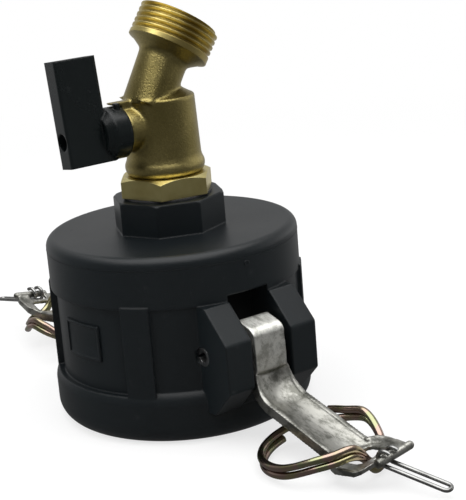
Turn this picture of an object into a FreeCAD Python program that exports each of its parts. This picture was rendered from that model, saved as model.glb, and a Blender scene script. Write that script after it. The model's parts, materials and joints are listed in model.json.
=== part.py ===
import FreeCAD, Part
import math
import os
from FreeCAD import Vector

# IBC drain adapter: a moulded cam-lock coupler with a small ball tap screwed into its cap.
# Millimetres, +Z up. The origin is the centre of the coupler's mouth, on the face it rests on.
# The cam arms lie along X, the tap's stem points to -Y and its outlet leans to +Y.

# Coupler body
BODY_HEIGHT = 60.0
SOCKET_RADIUS = 32.0
FOOT_RADIUS = 37.9
RIM_RADIUS = 42.3
RIM_ROUND_TOP = 6.0
RIM_TOP = 13.0
WALL_RADIUS = 40.4
WALL_FOOT = 17.0
PANEL_RADIUS = 39.3
PANEL_FOOT = 15.8
PANEL_HALF_ANGLE = 32.0
PAD_RADIUS = 41.6
PAD_HALF_ANGLE = 6.4
CAP_RADIUS = 41.0
CAP_UNDERSIDE = 43.8
CAP_EDGE_ROUND = 3.0
ROOF_THICKNESS = 5.0
BOSS_CIRCUMRADIUS = 18.34
BOSS_SIDES = 8
BOSS_HEIGHT = 10.6
BOSS_EDGE_CHAMFER = 0.7

# Ears that carry the cam arms, two to an arm
EAR_INNER = 7.6
EAR_OUTER = 17.0
EAR_FACE = 51.0
EAR_FACE_TOP = 34.0
EAR_FACE_FOOT = 18.8
EAR_FOOT = 10.0
EAR_EDGE_ROUND = 1.4
SILL_TOP = 21.8
SILL_FACE = 43.4
WINDOW_TOP = 45.8

# Mouth gasket
GASKET_OUTER = 33.35
GASKET_INNER = 25.4
GASKET_THICKNESS = 6.35
GASKET_CLEARANCE = 0.25

# Slotted spring pins
PIN_X = 38.3
PIN_Z = 28.0
PIN_RADIUS = 2.95
PIN_BORE = 1.8
PIN_SLOT = 1.1
PIN_FIT = 0.05
PIN_SEAT_FIT = 0.02

# Cam arms, drawn open on the +X side: x is the distance from the coupler's axis
ARM_WIDTH = 11.5
ARM_SKIN = 1.6
HEAD_RADIUS = 5.9
CAM_CREST_X = 42.0
CAM_CREST_Z = 37.6
STRAP_FACE = 50.3
STRAP_DEPTH = 5.0
STRAP_FOOT = 22.6
SHEET = 1.4
HANDLE_WIDTH = 15.0
GUTTER_WIDTH = 11.8
GUTTER_SAG = 1.5
FLANGE_RISE = 1.9
FLARE_TOP = 25.0
FLARE_FOOT = 15.5
BEND_FOOT_X = 58.0
BEND_FOOT_Z = 12.5
DIP_X = 85.0
DIP_Z = 5.9
TIP_FOOT_X = 89.5
TIP_FOOT_Z = 6.5
TIP_HALF_WIDTH = 10.4
TIP_TILT_ANGLE = 9.0
TIP_LIP_X = 101.0
TIP_LIP_Z = 8.6
TIP_LIP_RADIUS = 1.3
TIP_LIP_LENGTH = 18.0
RING_HOLE_START = 87.6
RING_HOLE_END = 95.6
RING_HOLE_LEFT = -4.9
RING_HOLE_RIGHT = 5.6
CLIP_HOLE_LENGTH = 2.4
CLIP_HOLE_WIDTH = 6.2
FAR_ARM_LIFT_ANGLE = 5.5

# Split pull rings: a flat coil, tilted, that dips through the hole in the arm
RING_X = 75.6
RING_Y = -2.1
RING_RADIUS = 18.4
RING_WIRE_RADIUS = 1.2
RING_PITCH = 2.45
RING_FLOOR_GAP = 0.2
RING_TILT_ANGLE = 13.0
RING_LOW_ANGLE = -130.0
RING_LIFT = 1.5
RING_LIFT_ANGLES = (-85, -40, -14, 0)
RING_DIP = 7.5
RING_DIP_ANGLES = (-8, 20, 52, 100)
RING_JOG_ANGLE = 160
RING_JOG_HALF_ANGLE = 18
RING_END_GAP_ANGLE = 6
RING_END_SPRING = 2.6

# Hairpin clips
CLIP_WIRE_RADIUS = 0.65
CLIP_EYE_RADIUS = 2.4
CLIP_LENGTH = 19.5
CLIP_HALF_WIDTH = 1.5
CLIP_DROOP = 13.0
CLIP_YAW = 16.0
CLIP_Y = 1.2

# Tap: tail, body, ball and seats
THREAD_PITCH_RADIUS = 12.6
THREAD_FIT = 0.05
TAIL_SEAL_THICKNESS = 0.7
HEX_ACROSS_FLATS = 27.4
HEX_HEIGHT = 6.3
HEX_TURN = -40.2
HEX_CHAMFER = 1.0
TAIL_DEPTH = 13.0
BODY_COLLAR_RADIUS = 12.9
BODY_COLLAR_HEIGHT = 4.6
BODY_FOOT_RADIUS = 12.0
BODY_TOP_RADIUS = 11.35
TRUNK_HEIGHT = 25.2
BODY_DOME = 2.4
PASSAGE_RADIUS = 4.8
BALL_RADIUS = 7.8
BALL_CLEARANCE = 0.05
CHAMBER_RADIUS = 8.6
SEAT_REACH = 7.2
SEAT_HEIGHT = 3.0
STEM_RISE = 15.9

# Outlet neck and hose thread
OUTLET_LEAN = 34.0
OUTLET_BEND_RISE = 31.85
HEAD_FOOT = 8.66
HEAD_LENGTH = 10.3
HOSE_THREAD_RADIUS = 13.22
NECK_RADIUS = 7.9
OUTLET_BORE = 9.2
OUTLET_BORE_DEPTH = 11.0

# Stem, packing and handle
BONNET_RADIUS = 7.0
BONNET_END = 15.0
STEM_RADIUS = 3.6
STEM_FIT = 0.05
STEM_HEAD_RADIUS = 4.9
STEM_HEAD_TOP = 8.9
STEM_HEAD_THICKNESS = 1.5
STEM_END = 27.0
STEM_FLAT = 2.6
TANG_WIDTH = 3.4
TANG_RADIUS = 3.8
TANG_REACH = 5.6
ORING_SECTION = 0.85
ORING_PLACES = (11.7, 13.6)
THRUST_WASHER = 0.7
THRUST_GAP = 0.15
HANDLE_TILT = 7.5
HANDLE_TRAVEL = 90.0
HANDLE_FACE = 36.2
HANDLE_INNER = 22.0
HANDLE_THICKNESS = 6.6
HANDLE_TOP = 24.8
HANDLE_FOOT = 8.3
HUB_RADIUS = 8.3
HUB_END = 15.6
HUB_SKIRT_END = 21.0
SCREW_HOLE_RADIUS = 2.7
SCREW_HEAD_RADIUS = 2.5
SCREW_SHANK_RADIUS = 1.5
SCREW_SEAT = 29.0
LUG_WIDTH = 3.4
LUG_UNDERSIDE = 8.6
LUG_HEIGHT = 9.8
LUG_END = 18.4
STOP_WIDTH = 2.0
STOP_DEPTH = 1.4
STOP_GAP = 0.15

# Sizes that follow from the ones above
ROOF_UNDERSIDE = BODY_HEIGHT - ROOF_THICKNESS
BOSS_TOP = BODY_HEIGHT + BOSS_HEIGHT
HEX_FOOT = BOSS_TOP + TAIL_SEAL_THICKNESS
TAIL_FOOT = BOSS_TOP - TAIL_DEPTH
HEX_TOP = HEX_FOOT + HEX_HEIGHT
BODY_SHOULDER = HEX_TOP + TRUNK_HEIGHT
STEM_Z = HEX_TOP + STEM_RISE
OUTLET_BEND_Z = HEX_TOP + OUTLET_BEND_RISE
PIN_HOLE = PIN_RADIUS + PIN_FIT
RING_REST_Z = RING_WIRE_RADIUS + RING_FLOOR_GAP
LEAN = math.radians(OUTLET_LEAN)
OUTLET_AXIS = Vector(0, math.sin(LEAN), math.cos(LEAN))
OUTLET_FOOT = Vector(0, 0, OUTLET_BEND_Z) + OUTLET_AXIS * HEAD_FOOT
OUTLET_FACE = OUTLET_FOOT + OUTLET_AXIS * HEAD_LENGTH

X_AXIS = Vector(1, 0, 0)
Y_AXIS = Vector(0, 1, 0)
Z_AXIS = Vector(0, 0, 1)
OUTWARD = Vector(0, -1, 0)


def outline(*steps):
    """Closed wire from points; a step of two points is an arc through the first to the second."""
    edges = []
    start = steps[0]
    here = start
    for step in list(steps[1:]) + [start]:
        if isinstance(step, tuple):
            edges.append(Part.Arc(here, step[0], step[1]).toShape())
            here = step[1]
        elif (step - here).Length > 1e-6:
            edges.append(Part.LineSegment(here, step).toShape())
            here = step
    return Part.Wire(edges)


def side(x, z):
    """Point of a side view, in the XZ plane."""
    return Vector(x, 0, z)


def plan(wire, height):
    return Part.Face(wire).extrude(Vector(0, 0, height))


def slab(wire, low_y, high_y):
    """Side view wire given its width along Y."""
    solid = Part.Face(wire).extrude(Vector(0, high_y - low_y, 0))
    solid.translate(Vector(0, low_y, 0))
    return solid


def turned(*steps):
    """Solid of revolution about Z from a half section in the XZ plane."""
    return Part.Face(outline(*steps)).revolve(Vector(0, 0, 0), Z_AXIS, 360)


def rod(radius, start, axis, length):
    return Part.makeCylinder(radius, length, start, axis)


def tube(outer, inner, start, axis, length):
    return rod(outer, start, axis, length).cut(rod(inner, start - axis, axis, length + 2))


def block(x0, x1, y0, y1, z0, z1):
    return Part.makeBox(x1 - x0, y1 - y0, z1 - z0, Vector(x0, y0, z0))


def polygon(sides, circumradius, z, turn):
    corners = []
    for i in range(sides):
        angle = math.radians(turn + 360.0 * i / sides)
        corners.append(Vector(circumradius * math.cos(angle), circumradius * math.sin(angle), z))
    return Part.makePolygon(corners + [corners[0]])


def fused(first, *others):
    return first.multiFuse(list(others)).removeSplitter()


def opposite(shape):
    """The same shape on the other side of the coupler."""
    copy = shape.copy()
    copy.rotate(Vector(0, 0, 0), Z_AXIS, 180)
    return copy


def far_arm_place(shape):
    """A shape of the near arm moved to the far arm, which rests a little higher."""
    copy = shape.copy()
    copy.rotate(Vector(PIN_X, 0, PIN_Z), Y_AXIS, -FAR_ARM_LIFT_ANGLE)
    return opposite(copy)


def save(name, shape):
    solids = shape.Solids
    result = solids[0] if len(solids) == 1 else Part.makeCompound(solids)
    print(name, "solids", len(solids), "valid", result.isValid(), "volume", round(result.Volume, 1))
    result.exportStep("parts/" + name + ".step")


# Coupler body: one moulding with the rim, wall, ears, cap and threaded boss

def body_shell():
    width = RIM_RADIUS - FOOT_RADIUS
    bulge = (width ** 2 + RIM_ROUND_TOP ** 2) / (2 * width)
    halfway = math.asin(RIM_ROUND_TOP / bulge) / 2
    return turned(
        side(SOCKET_RADIUS, 0),
        side(FOOT_RADIUS, 0),
        (side(RIM_RADIUS - bulge + bulge * math.cos(halfway), RIM_ROUND_TOP - bulge * math.sin(halfway)),
         side(RIM_RADIUS, RIM_ROUND_TOP)),
        side(RIM_RADIUS, RIM_TOP),
        (side(RIM_RADIUS - 0.5, RIM_TOP + 2.0), side(WALL_RADIUS, WALL_FOOT)),
        side(WALL_RADIUS, CAP_UNDERSIDE),
        side(CAP_RADIUS, CAP_UNDERSIDE),
        side(CAP_RADIUS, BODY_HEIGHT - CAP_EDGE_ROUND),
        (side(CAP_RADIUS - CAP_EDGE_ROUND * 0.293, BODY_HEIGHT - CAP_EDGE_ROUND * 0.293),
         side(CAP_RADIUS - CAP_EDGE_ROUND, BODY_HEIGHT)),
        side(0, BODY_HEIGHT),
        side(0, ROOF_UNDERSIDE),
        side(GASKET_OUTER + GASKET_CLEARANCE, ROOF_UNDERSIDE),
        side(GASKET_OUTER + GASKET_CLEARANCE, ROOF_UNDERSIDE - GASKET_THICKNESS - GASKET_CLEARANCE),
        side(SOCKET_RADIUS, ROOF_UNDERSIDE - GASKET_THICKNESS - GASKET_CLEARANCE))


def wall_sector(inner, outer, foot, top, middle_angle, half_angle):
    """Part of a ring about the coupler's axis, between two upright planes through that axis."""
    ring = tube(outer, inner, Vector(0, 0, foot), Z_AXIS, top - foot)
    reach = 2 * outer
    half = math.radians(half_angle)
    wedge = plan(outline(Vector(0, 0, 0), Vector(reach, -reach * math.tan(half), 0),
                         Vector(reach, reach * math.tan(half), 0)), BODY_HEIGHT)
    wedge.rotate(Vector(0, 0, 0), Z_AXIS, middle_angle)
    return ring.common(wedge)


def ear(low_y, high_y):
    root = SOCKET_RADIUS + 2
    shape = slab(outline(
        side(root, EAR_FOOT),
        side(RIM_RADIUS, EAR_FOOT),
        side(EAR_FACE, EAR_FACE_FOOT),
        side(EAR_FACE, EAR_FACE_TOP),
        side(CAP_RADIUS, CAP_UNDERSIDE),
        side(root, CAP_UNDERSIDE)), low_y, high_y)
    upright = [e for e in shape.Edges if abs(e.CenterOfMass.x - EAR_FACE) < 0.01
               and abs(e.BoundBox.ZLength) < 0.01]
    return shape.makeFillet(EAR_EDGE_ROUND, upright)


def coupler_body():
    shell = body_shell()
    pads = []
    for angle in (90, 270):
        shell = shell.cut(wall_sector(PANEL_RADIUS, RIM_RADIUS + 5, PANEL_FOOT, CAP_UNDERSIDE, angle,
                                      PANEL_HALF_ANGLE))
        for side_of_panel in (-1, 1):
            middle = angle + side_of_panel * (PANEL_HALF_ANGLE + PAD_HALF_ANGLE)
            pads.append(wall_sector(SOCKET_RADIUS + 2, PAD_RADIUS, RIM_TOP - 1, CAP_UNDERSIDE + 1, middle,
                                    PAD_HALF_ANGLE))
    boss = plan(polygon(BOSS_SIDES, BOSS_CIRCUMRADIUS, BODY_HEIGHT - 1, 0), BOSS_HEIGHT + 1)
    cone_foot = BOSS_CIRCUMRADIUS + BOSS_HEIGHT + 1 - BOSS_EDGE_CHAMFER
    trim = Part.makeCone(cone_foot, cone_foot - BOSS_HEIGHT - 1, BOSS_HEIGHT + 1,
                         Vector(0, 0, BODY_HEIGHT - 1))
    ears = []
    for low, high in ((EAR_INNER, EAR_OUTER), (-EAR_OUTER, -EAR_INNER)):
        ears.append(ear(low, high))
        ears.append(opposite(ears[-1]))
    sill = block(SOCKET_RADIUS + 2, SILL_FACE, -EAR_INNER - 1, EAR_INNER + 1, EAR_FOOT + 1, SILL_TOP)
    body = fused(shell, boss.common(trim), sill, opposite(sill), *ears, *pads)
    body = body.cut(rod(SOCKET_RADIUS, Vector(0, 0, -1), Z_AXIS, ROOF_UNDERSIDE - GASKET_THICKNESS))
    body = body.cut(rod(THREAD_PITCH_RADIUS + THREAD_FIT, Vector(0, 0, 1), Z_AXIS, BODY_HEIGHT + BOSS_HEIGHT))
    window = block(SOCKET_RADIUS - 5, EAR_FACE + 5, -EAR_INNER, EAR_INNER, SILL_TOP, WINDOW_TOP)
    pin_hole = rod(PIN_RADIUS + PIN_SEAT_FIT, Vector(PIN_X, -EAR_OUTER - 1, PIN_Z), Y_AXIS, 2 * EAR_OUTER + 2)
    for tool in (window, opposite(window), pin_hole, opposite(pin_hole)):
        body = body.cut(tool)
    return body


def mouth_gasket():
    return tube(GASKET_OUTER, GASKET_INNER, Vector(0, 0, ROOF_UNDERSIDE - GASKET_THICKNESS), Z_AXIS,
                GASKET_THICKNESS)


def arm_pin():
    pin = tube(PIN_RADIUS, PIN_BORE, Vector(PIN_X, -EAR_OUTER, PIN_Z), Y_AXIS, 2 * EAR_OUTER)
    slot = block(PIN_X - PIN_RADIUS - 1, PIN_X, -EAR_OUTER - 1, EAR_OUTER + 1,
                 PIN_Z - PIN_SLOT / 2, PIN_Z + PIN_SLOT / 2)
    return pin.cut(slot)


# Cam arms: a pressed head and strap that open into a gutter-shaped handle

def head_profile(inset):
    """Side view of the head and strap; inset draws the hollow inside the pressed skin."""
    low = PIN_Z - HEAD_RADIUS
    inner = STRAP_FACE - STRAP_DEPTH
    face = STRAP_FACE - inset
    crest = CAM_CREST_Z - inset
    return outline(
        side(PIN_X, low),
        (side(PIN_X - HEAD_RADIUS, PIN_Z), side(PIN_X - 2.4, PIN_Z + 5.39)),
        side(CAM_CREST_X - 1.5 + inset * 0.2, crest - 0.7),
        (side(CAM_CREST_X - 0.6, crest - 0.1), side(CAM_CREST_X + 0.5, crest)),
        side(face - 1.8, crest - 1.6),
        (side(face - 0.7, crest - 2.2), side(face - 0.4, crest - 3.4)),
        side(face, STRAP_FOOT + 4),
        side(face, STRAP_FOOT),
        side(face - 1.2, STRAP_FOOT - 1.2),
        side(inner + 1.2, STRAP_FOOT - 3.2),
        side(inner - 1.2, low))


def handle_curve(offset):
    """The handle's floor in side view, moved outward by offset: a tight bend, a straight run and a lift."""
    slope = math.atan2(BEND_FOOT_Z - DIP_Z, DIP_X - BEND_FOOT_X)
    normal = side(math.sin(slope), math.cos(slope)) * offset
    top = side(STRAP_FACE - FLANGE_RISE + offset, STRAP_FOOT)
    foot = side(BEND_FOOT_X, BEND_FOOT_Z) + normal
    dip = side(DIP_X, DIP_Z) + normal
    end = side(TIP_FOOT_X, TIP_FOOT_Z + offset)
    lean = math.pi / 2 - slope
    chord = foot - top
    middle = (top + foot) * 0.5
    bulge = math.tan(lean / 4) * chord.Length / 2
    across = side(chord.z, -chord.x)
    across.normalize()
    bend = Part.Arc(top, middle + across * bulge, foot).toShape()
    low = side((dip.x + end.x) / 2, min(dip.z, end.z) - 0.08)
    lift = Part.Arc(dip, low, end).toShape()
    return [bend, Part.LineSegment(foot, dip).toShape(), lift], top, end


def gutter():
    """The hollow of the handle: a shallow round-bottomed section swept along the floor."""
    edges, top, end = handle_curve(0.0)
    half = GUTTER_WIDTH / 2
    high = FLANGE_RISE * 2.4
    section = outline(
        Vector(top.x + GUTTER_SAG, -half, STRAP_FOOT),
        (Vector(top.x, 0, STRAP_FOOT), Vector(top.x + GUTTER_SAG, half, STRAP_FOOT)),
        Vector(top.x + high, half, STRAP_FOOT),
        Vector(top.x + high, -half, STRAP_FOOT))
    sweep = Part.BRepOffsetAPI.MakePipeShell(Part.Wire(edges))
    sweep.add(section, False, False)
    sweep.setBiNormalMode(Y_AXIS)
    sweep.build()
    sweep.makeSolid()
    return sweep.shape()


def handle_ribbon():
    """The handle as a solid band, as deep as its flanges, with its flared shoulders."""
    lower, low_top, low_end = handle_curve(-SHEET)
    upper, high_top, high_end = handle_curve(FLANGE_RISE)
    edges = lower + [Part.LineSegment(low_end, side(high_end.x, TIP_FOOT_Z)).toShape(),
                     Part.LineSegment(side(high_end.x, TIP_FOOT_Z), side(DIP_X, high_end.z)).toShape()]
    edges.append(Part.LineSegment(side(DIP_X, high_end.z), upper[1].Vertexes[-1].Point).toShape())
    edges.append(upper[1])
    edges.append(upper[0])
    edges.append(Part.LineSegment(high_top, low_top).toShape())
    half = HANDLE_WIDTH / 2
    band = slab(Part.Wire(Part.__sortEdges__(edges)), -half, half)
    for sign in (-1, 1):
        corner = Part.makePolygon([Vector(40, sign * y, z) for y, z in (
            (ARM_WIDTH / 2, FLARE_TOP), (half + 1, FLARE_FOOT - 5), (half + 1, FLARE_TOP + 5),
            (ARM_WIDTH / 2, FLARE_TOP + 5), (ARM_WIDTH / 2, FLARE_TOP))])
        band = band.cut(Part.Face(corner).extrude(Vector(20, 0, 0)))
    return band.cut(block(DIP_X + 1, TIP_FOOT_X + 1, -half, half, 0, STRAP_FOOT))


def lip_place(shape):
    """Turns a shape about the arm's length, as the end of the arm is twisted."""
    shape.rotate(side(TIP_LIP_X, TIP_LIP_Z), X_AXIS, TIP_TILT_ANGLE)
    return shape


def tip_section(x, half, floor, rise, tilt):
    """Cross section of the dished end plate: a flat floor with its edges turned up by rise."""
    wall = SHEET * 0.8
    points = [(-half, floor - SHEET), (half, floor - SHEET), (half, floor + rise), (half - wall, floor + rise),
              (half - wall - rise, floor), (wall + rise - half, floor), (wall - half, floor + rise),
              (-half, floor + rise)]
    section = Part.makePolygon([Vector(x, y, z) for y, z in points + points[:1]])
    section.rotate(Vector(x, 0, floor), X_AXIS, tilt)
    return section


def tip_plate():
    lip_half = TIP_LIP_LENGTH / 2 - TIP_LIP_RADIUS
    wide = TIP_HALF_WIDTH
    slope = (TIP_LIP_Z - TIP_FOOT_Z) / (TIP_LIP_X - TIP_FOOT_X)
    shoulder = (DIP_X + TIP_FOOT_X) / 2
    neck = TIP_LIP_X - 3.0
    sections = [
        tip_section(DIP_X - 1.0, HANDLE_WIDTH / 2, DIP_Z + 0.2, FLANGE_RISE - 0.2, 0),
        tip_section(shoulder, wide - 0.9, (DIP_Z + TIP_FOOT_Z) / 2, FLANGE_RISE * 0.8, TIP_TILT_ANGLE * 0.9),
        tip_section(TIP_FOOT_X + 0.5, wide, TIP_FOOT_Z, FLANGE_RISE * 0.6, TIP_TILT_ANGLE),
        tip_section(neck, wide - 0.3, TIP_LIP_Z - slope * (TIP_LIP_X - neck), 0.3, TIP_TILT_ANGLE),
        tip_section(TIP_LIP_X, lip_half, TIP_LIP_Z + SHEET / 2, 0.1, TIP_TILT_ANGLE)]
    slot = block(TIP_LIP_X - TIP_LIP_RADIUS - CLIP_HOLE_LENGTH, TIP_LIP_X, CLIP_Y - CLIP_HOLE_WIDTH / 2,
                 CLIP_Y + CLIP_HOLE_WIDTH / 2, 0, STRAP_FOOT)
    return Part.makeLoft(sections, True, True).cut(slot)


def cam_arm():
    half = ARM_WIDTH / 2
    head = slab(head_profile(0), -half, half)
    hollow = slab(head_profile(ARM_SKIN), -half + ARM_SKIN, half - ARM_SKIN)
    opened = block(PIN_X - 10, STRAP_FACE - STRAP_DEPTH + 0.6, -half + ARM_SKIN, half - ARM_SKIN,
                   PIN_Z - HEAD_RADIUS - 4, PIN_Z + 1)
    head = head.cut(hollow.fuse(opened).common(block(0, STRAP_FACE + 2, -half, half, 16.5, CAM_CREST_Z)))
    lip = rod(TIP_LIP_RADIUS, Vector(TIP_LIP_X, -TIP_LIP_LENGTH / 2, TIP_LIP_Z), Y_AXIS, TIP_LIP_LENGTH)
    ends = [Part.makeSphere(TIP_LIP_RADIUS, Vector(TIP_LIP_X, y, TIP_LIP_Z))
            for y in (-TIP_LIP_LENGTH / 2, TIP_LIP_LENGTH / 2)]
    lip = lip_place(lip.multiFuse(ends))
    arm = fused(head, handle_ribbon().cut(gutter()), tip_plate(), lip)
    hole = block(RING_HOLE_START, RING_HOLE_END, RING_HOLE_LEFT, RING_HOLE_RIGHT, 0, 30)
    hole = hole.makeFillet(2.2, [e for e in hole.Edges if e.BoundBox.ZLength > 20])
    pin_hole = rod(PIN_HOLE, Vector(PIN_X, -20, PIN_Z), Y_AXIS, 40)
    for tool in (hole, pin_hole):
        arm = arm.cut(tool)
    return arm


# Split rings: two turns of wire, threaded through the hole in the arm's end plate

def ease(u):
    u = min(max(u, 0.0), 1.0)
    return 3 * u * u - 2 * u * u * u


def swell(degrees, angles):
    """0 to 1 over the first two angles, and back to 0 over the last two."""
    angle = (degrees + 180) % 360 - 180
    start, full, last, end = angles
    return min(ease((angle - start) / (full - start)), 1 - ease((angle - last) / (end - last)))


def pull_ring():
    step = 10
    first = RING_JOG_ANGLE + RING_JOG_HALF_ANGLE + RING_END_GAP_ANGLE
    last = RING_JOG_ANGLE + 720 - RING_JOG_HALF_ANGLE - RING_END_GAP_ANGLE
    low = math.radians(RING_LOW_ANGLE)
    tilt = FreeCAD.Rotation(Vector(-math.sin(low), math.cos(low), 0), RING_TILT_ANGLE)
    middle_z = RING_FLOOR_GAP + RING_WIRE_RADIUS + RING_RADIUS * math.sin(math.radians(RING_TILT_ANGLE))
    points = []
    for degrees in range(int(first), int(last) + 1, step):
        angle = math.radians(degrees)
        coil = RING_PITCH * ease((degrees - RING_JOG_ANGLE - 360 + RING_JOG_HALF_ANGLE)
                                 / (2 * RING_JOG_HALF_ANGLE))
        radius = RING_RADIUS + RING_END_SPRING * ease((degrees - last + 3 * step) / (3 * step)) ** 2
        flat = Vector(radius * math.cos(angle), radius * math.sin(angle), coil)
        wave = RING_LIFT * swell(degrees, RING_LIFT_ANGLES) - RING_DIP * swell(degrees, RING_DIP_ANGLES)
        points.append(Vector(RING_X, RING_Y, middle_z + wave) + tilt.multVec(flat))
    curve = Part.BSplineCurve()
    curve.interpolate(points)
    across = Part.Circle(points[0], curve.tangent(curve.FirstParameter)[0], RING_WIRE_RADIUS)
    sweep = Part.BRepOffsetAPI.MakePipeShell(Part.Wire([curve.toShape()]))
    sweep.add(Part.Wire([across.toShape()]), False, False)
    sweep.setBiNormalMode(Z_AXIS)
    sweep.build()
    sweep.makeSolid()
    return sweep.shape()


# Hairpin clips: two eyes round the arm's end lip, two legs and a round bend

def hairpin_clip():
    eye = CLIP_EYE_RADIUS
    half = CLIP_HALF_WIDTH
    bend = CLIP_LENGTH - half
    open_angle = math.radians(60)
    edges = []
    for y in (-half, half):
        x = y * math.tan(math.radians(CLIP_YAW))
        start = Vector(x + eye * math.cos(open_angle), y, eye * math.sin(open_angle))
        edges.append(Part.Arc(start, Vector(x - eye, y, 0), Vector(x, y, -eye)).toShape())
        edges.append(Part.LineSegment(Vector(x, y, -eye), Vector(bend, y, -eye)).toShape())
    turn = Part.Arc(Vector(bend, -half, -eye), Vector(CLIP_LENGTH, 0, -eye),
                    Vector(bend, half, -eye)).toShape()
    start = edges[0].Vertexes[0].Point
    first_way = Vector(-math.sin(open_angle), 0, math.cos(open_angle))
    spine = Part.Wire(Part.__sortEdges__([edges[0], edges[1], turn, edges[3], edges[2]]))
    across = Part.Wire([Part.Circle(start, first_way, CLIP_WIRE_RADIUS).toShape()])
    clip = spine.makePipeShell([across], True, True)
    clip.rotate(Vector(0, 0, 0), Y_AXIS, CLIP_DROOP)
    clip.rotate(Vector(0, 0, 0), Z_AXIS, CLIP_YAW)
    clip.translate(Vector(TIP_LIP_X, CLIP_Y, TIP_LIP_Z))
    return lip_place(clip)


# Tap tail: hexagon with a threaded spigot that screws into the cap's boss

def valve_tail():
    hexagon = plan(polygon(6, HEX_ACROSS_FLATS / math.sqrt(3), HEX_FOOT, HEX_TURN), HEX_TOP - HEX_FOOT)
    across = HEX_ACROSS_FLATS / 2
    height = HEX_TOP - HEX_FOOT
    cone_foot = across + (height - HEX_CHAMFER) * 1.8 + HEX_CHAMFER * 1.8
    trim = Part.makeCone(cone_foot, across, height, Vector(0, 0, HEX_FOOT))
    spigot = rod(THREAD_PITCH_RADIUS, Vector(0, 0, TAIL_FOOT), Z_AXIS, HEX_FOOT - TAIL_FOOT)
    nose = rod(CHAMBER_RADIUS - 0.05, Vector(0, 0, HEX_TOP), Z_AXIS, STEM_Z - SEAT_REACH - HEX_TOP)
    tail = fused(hexagon.common(trim), spigot, nose)
    return tail.cut(rod(PASSAGE_RADIUS + 1.5, Vector(0, 0, TAIL_FOOT - 1), Z_AXIS, STEM_Z - TAIL_FOOT))


def tail_seal():
    return tube(HEX_ACROSS_FLATS / 2 + 0.6, THREAD_PITCH_RADIUS + 0.05, Vector(0, 0, BOSS_TOP), Z_AXIS,
                TAIL_SEAL_THICKNESS)


def valve_body():
    trunk = turned(
        side(0, HEX_TOP),
        side(BODY_COLLAR_RADIUS - 1.2, HEX_TOP),
        (side(BODY_COLLAR_RADIUS, HEX_TOP + BODY_COLLAR_HEIGHT / 2),
         side(BODY_COLLAR_RADIUS - 0.6, HEX_TOP + BODY_COLLAR_HEIGHT)),
        side(BODY_FOOT_RADIUS, HEX_TOP + BODY_COLLAR_HEIGHT + 1.4),
        side(BODY_TOP_RADIUS, BODY_SHOULDER - 1.0),
        (side(BODY_TOP_RADIUS - 0.3, BODY_SHOULDER - 0.3), side(BODY_TOP_RADIUS - 1.0, BODY_SHOULDER)),
        side(NECK_RADIUS - 1.5, BODY_SHOULDER + BODY_DOME),
        side(0, BODY_SHOULDER + BODY_DOME))
    neck_length = 20.0
    neck = Part.makeCone(NECK_RADIUS + 0.9, NECK_RADIUS, neck_length,
                         OUTLET_FOOT - OUTLET_AXIS * neck_length, OUTLET_AXIS)
    above = block(-20, 20, -20, 20, BODY_SHOULDER - 8, 140)
    flare = Part.makeCone(NECK_RADIUS, HOSE_THREAD_RADIUS - 0.6, 3.2, OUTLET_FOOT - OUTLET_AXIS * 3.2,
                          OUTLET_AXIS)
    head = rod(HOSE_THREAD_RADIUS, OUTLET_FOOT, OUTLET_AXIS, HEAD_LENGTH)
    bonnet = rod(BONNET_RADIUS, Vector(0, 0, STEM_Z), OUTWARD, BONNET_END)
    lug = block(-LUG_WIDTH / 2, LUG_WIDTH / 2, -LUG_END, -BODY_TOP_RADIUS + 3,
                STEM_Z + LUG_UNDERSIDE, STEM_Z + LUG_HEIGHT)
    root = block(-LUG_WIDTH / 2, LUG_WIDTH / 2, -BONNET_END, -BODY_TOP_RADIUS + 3,
                 STEM_Z + 4, STEM_Z + LUG_HEIGHT)
    body = fused(trunk, neck.common(above), flare, head, bonnet, lug, root)
    chamber = rod(CHAMBER_RADIUS, Vector(0, 0, HEX_TOP - 1), Z_AXIS, STEM_Z + SEAT_REACH - HEX_TOP + 1)
    upright = rod(PASSAGE_RADIUS, Vector(0, 0, STEM_Z), Z_AXIS, OUTLET_BEND_Z - 2.5 - STEM_Z)
    bend = Part.makeSphere(PASSAGE_RADIUS, Vector(0, 0, OUTLET_BEND_Z - 2.5))
    slant = rod(PASSAGE_RADIUS, Vector(0, 0, OUTLET_BEND_Z - 2.5), OUTLET_AXIS, 40)
    wide = rod(OUTLET_BORE, OUTLET_FACE - OUTLET_AXIS * OUTLET_BORE_DEPTH, OUTLET_AXIS, OUTLET_BORE_DEPTH + 1)
    stem_bore = rod(STEM_RADIUS + STEM_FIT, Vector(0, 0, STEM_Z), OUTWARD, BONNET_END + 1)
    head_bore = rod(STEM_HEAD_RADIUS + 0.15, Vector(0, 0, STEM_Z), OUTWARD,
                    STEM_HEAD_TOP + STEM_HEAD_THICKNESS + THRUST_WASHER + THRUST_GAP)
    for tool in (chamber, upright, bend, slant, wide, stem_bore, head_bore):
        body = body.cut(tool)
    return body


def seat(direction):
    """Sealing ring between the ball and the housing; direction is -1 for the inlet, 1 for the outlet."""
    contact = BALL_RADIUS + BALL_CLEARANCE
    start = Vector(0, 0, STEM_Z + direction * SEAT_REACH)
    ring = tube(CHAMBER_RADIUS - 0.1, PASSAGE_RADIUS, start, Z_AXIS * -direction, SEAT_HEIGHT)
    return ring.cut(Part.makeSphere(contact, Vector(0, 0, STEM_Z)))


def ball():
    sphere = Part.makeSphere(BALL_RADIUS, Vector(0, 0, STEM_Z))
    bore = rod(PASSAGE_RADIUS, Vector(0, 0, STEM_Z - 2 * BALL_RADIUS), Z_AXIS, 4 * BALL_RADIUS)
    half = TANG_WIDTH / 2 + 0.05
    slot = block(-half, half, -BALL_RADIUS - 1, -TANG_REACH + 0.05,
                 STEM_Z - BALL_RADIUS, STEM_Z + BALL_RADIUS)
    return sphere.cut(bore).cut(slot)


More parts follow.
